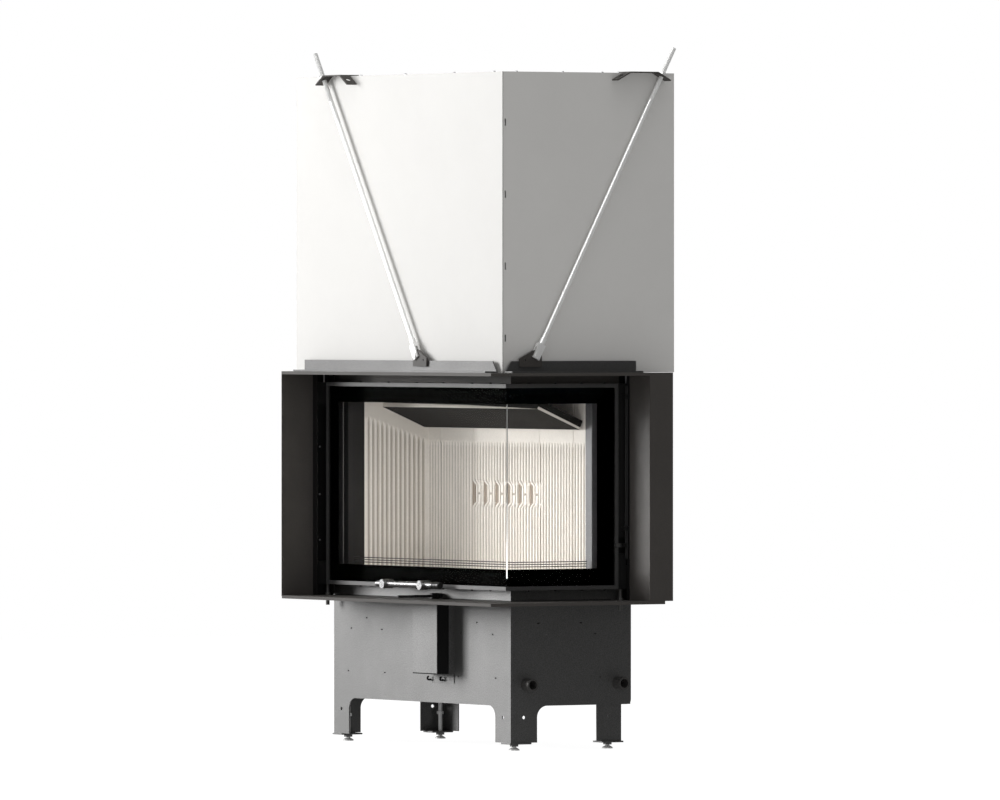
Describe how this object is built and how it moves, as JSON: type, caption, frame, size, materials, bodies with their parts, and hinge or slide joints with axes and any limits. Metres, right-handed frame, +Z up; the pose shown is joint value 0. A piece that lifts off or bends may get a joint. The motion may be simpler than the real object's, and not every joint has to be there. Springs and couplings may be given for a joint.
{
  "type": "corner fireplace insert",
  "caption": "Corner fireplace insert with a lift-up two-sided glass door, fluted pale lining, dark surround frame and pale lift housing.",
  "frame": {"origin": "on the floor under the middle of the insert's overall box", "axes": "+X to the right along the long front, +Y from the front to the back, +Z up"},
  "size_m": [1.114, 0.615, 1.8083],
  "materials": {
    "plinth_paint": "fine-textured matt anthracite",
    "frame_paint": "smooth satin anthracite",
    "housing_paint": "satin pale grey",
    "firebox_paint": "matt heat-proof black",
    "door_paint": "satin black",
    "lining_ceramic": "matt cream, fluted",
    "baffle_ceramic": "matt dark grey",
    "bright_steel": "bright zinc plate",
    "sleeve_steel": "dark rolled tube",
    "polished_steel": "polished",
    "door_glass": "clear, black printed border",
    "rope_seal": "braided dark grey",
    "weight_iron": "as cast",
    "lift_steel": "plain plated steel"
  },
  "bodies": {
    "stand": {"plinth_front_panel": "plinth_paint", "plinth_right_panel": "plinth_paint", "plinth_left_panel": "plinth_paint", "plinth_rear_panel": "plinth_paint", "rear_legs": "plinth_paint", "foot_plates": "plinth_paint", "linkage_bracket": "plinth_paint", "linkage_cover": "plinth_paint", "air_inlet_collar": "plinth_paint", "surround_top_plate": "frame_paint", "surround_bottom_plate": "frame_paint", "surround_left_wing": "frame_paint", "surround_right_wing": "frame_paint", "lintel_angle_front": "frame_paint", "lintel_angle_right": "frame_paint", "tie_lugs": "frame_paint", "tie_brackets": "frame_paint", "housing_front_panel": "housing_paint", "housing_right_panel": "housing_paint", "housing_left_panel": "housing_paint", "housing_rear_panel": "housing_paint", "housing_top_panel": "housing_paint", "firebox_floor": "firebox_paint", "firebox_left_wall": "firebox_paint", "firebox_rear_wall": "firebox_paint", "firebox_right_post": "firebox_paint", "firebox_roof": "firebox_paint", "flue_collar": "firebox_paint", "door_sill": "firebox_paint", "door_header": "firebox_paint", "guide_rails": "door_paint", "lining_left": "lining_ceramic", "lining_rear": "lining_ceramic", "hearth_bricks": "lining_ceramic", "baffle": "baffle_ceramic", "tie_rods": "bright_steel", "tie_forks": "bright_steel", "tie_fasteners": "bright_steel", "door_stop_bolts": "bright_steel", "carrying_sleeves": "sleeve_steel", "pulley_brackets": "lift_steel", "lift_cables": "lift_steel"},
    "door": {"door_frame": "door_paint", "front_glass": "door_glass", "side_glass": "door_glass", "door_seal": "rope_seal", "handle_posts": "polished_steel", "handle_bar": "polished_steel", "door_carriages": "door_paint"},
    "latch": {"latch_rod": "door_paint"},
    "left_weight": {"counterweight_left": "weight_iron"},
    "right_weight": {"counterweight_right": "weight_iron"},
    "left_pulley": {"pulley_left": "lift_steel"},
    "right_pulley": {"pulley_right": "lift_steel"},
    "lever": {"air_lever": "door_paint"},
    "foot_front_left": {"levelling_foot_front_left": "bright_steel"},
    "foot_front_right": {"levelling_foot_front_right": "bright_steel"},
    "foot_rear_left": {"levelling_foot_rear_left": "bright_steel"},
    "foot_rear_right": {"levelling_foot_rear_right": "bright_steel"}
  },
  "joints": [
    {"name": "door_lift", "type": "slide", "parent": "stand", "child": "door", "axis": [0, 0, 1], "range_m": [0, 0.49], "deforming": ["lift_cables"]},
    {"name": "left_weight_run", "type": "slide", "parent": "stand", "child": "left_weight", "axis": [0, 0, 1], "range_m": [-0.49, 0]},
    {"name": "right_weight_run", "type": "slide", "parent": "stand", "child": "right_weight", "axis": [0, 0, 1], "range_m": [-0.49, 0]},
    {"name": "left_pulley_turn", "type": "hinge", "parent": "stand", "child": "left_pulley", "pos_m": [-0.4895, -0.15839, 1.68], "axis": [-0.7337, -0.6795, 0], "range_deg": [0, 720]},
    {"name": "right_pulley_turn", "type": "hinge", "parent": "stand", "child": "right_pulley", "pos_m": [0.4145, 0.22382, 1.68], "axis": [-0.9699, -0.2436, 0], "range_deg": [0, 720]},
    {"name": "latch_lift", "type": "slide", "parent": "door", "child": "latch", "axis": [0, 0, 1], "range_m": [0, 0.014]},
    {"name": "air_slide", "type": "slide", "parent": "stand", "child": "lever", "axis": [1, 0, 0], "range_m": [-0.035, 0.035]},
    {"name": "front_left_foot_screw", "type": "slide", "parent": "stand", "child": "foot_front_left", "axis": [0, 0, -1], "range_m": [0, 0.04]},
    {"name": "front_right_foot_screw", "type": "slide", "parent": "stand", "child": "foot_front_right", "axis": [0, 0, -1], "range_m": [0, 0.04]},
    {"name": "rear_left_foot_screw", "type": "slide", "parent": "stand", "child": "foot_rear_left", "axis": [0, 0, -1], "range_m": [0, 0.04]},
    {"name": "rear_right_foot_screw", "type": "slide", "parent": "stand", "child": "foot_rear_right", "axis": [0, 0, -1], "range_m": [0, 0.04]}
  ],
  "couplings": [
    {"joint": "left_weight_run", "follows": "door_lift", "ratio": -1},
    {"joint": "right_weight_run", "follows": "door_lift", "ratio": -1},
    {"joint": "left_pulley_turn", "follows": "door_lift", "rad_per_m": 25.641},
    {"joint": "right_pulley_turn", "follows": "door_lift", "rad_per_m": 25.641}
  ]
}
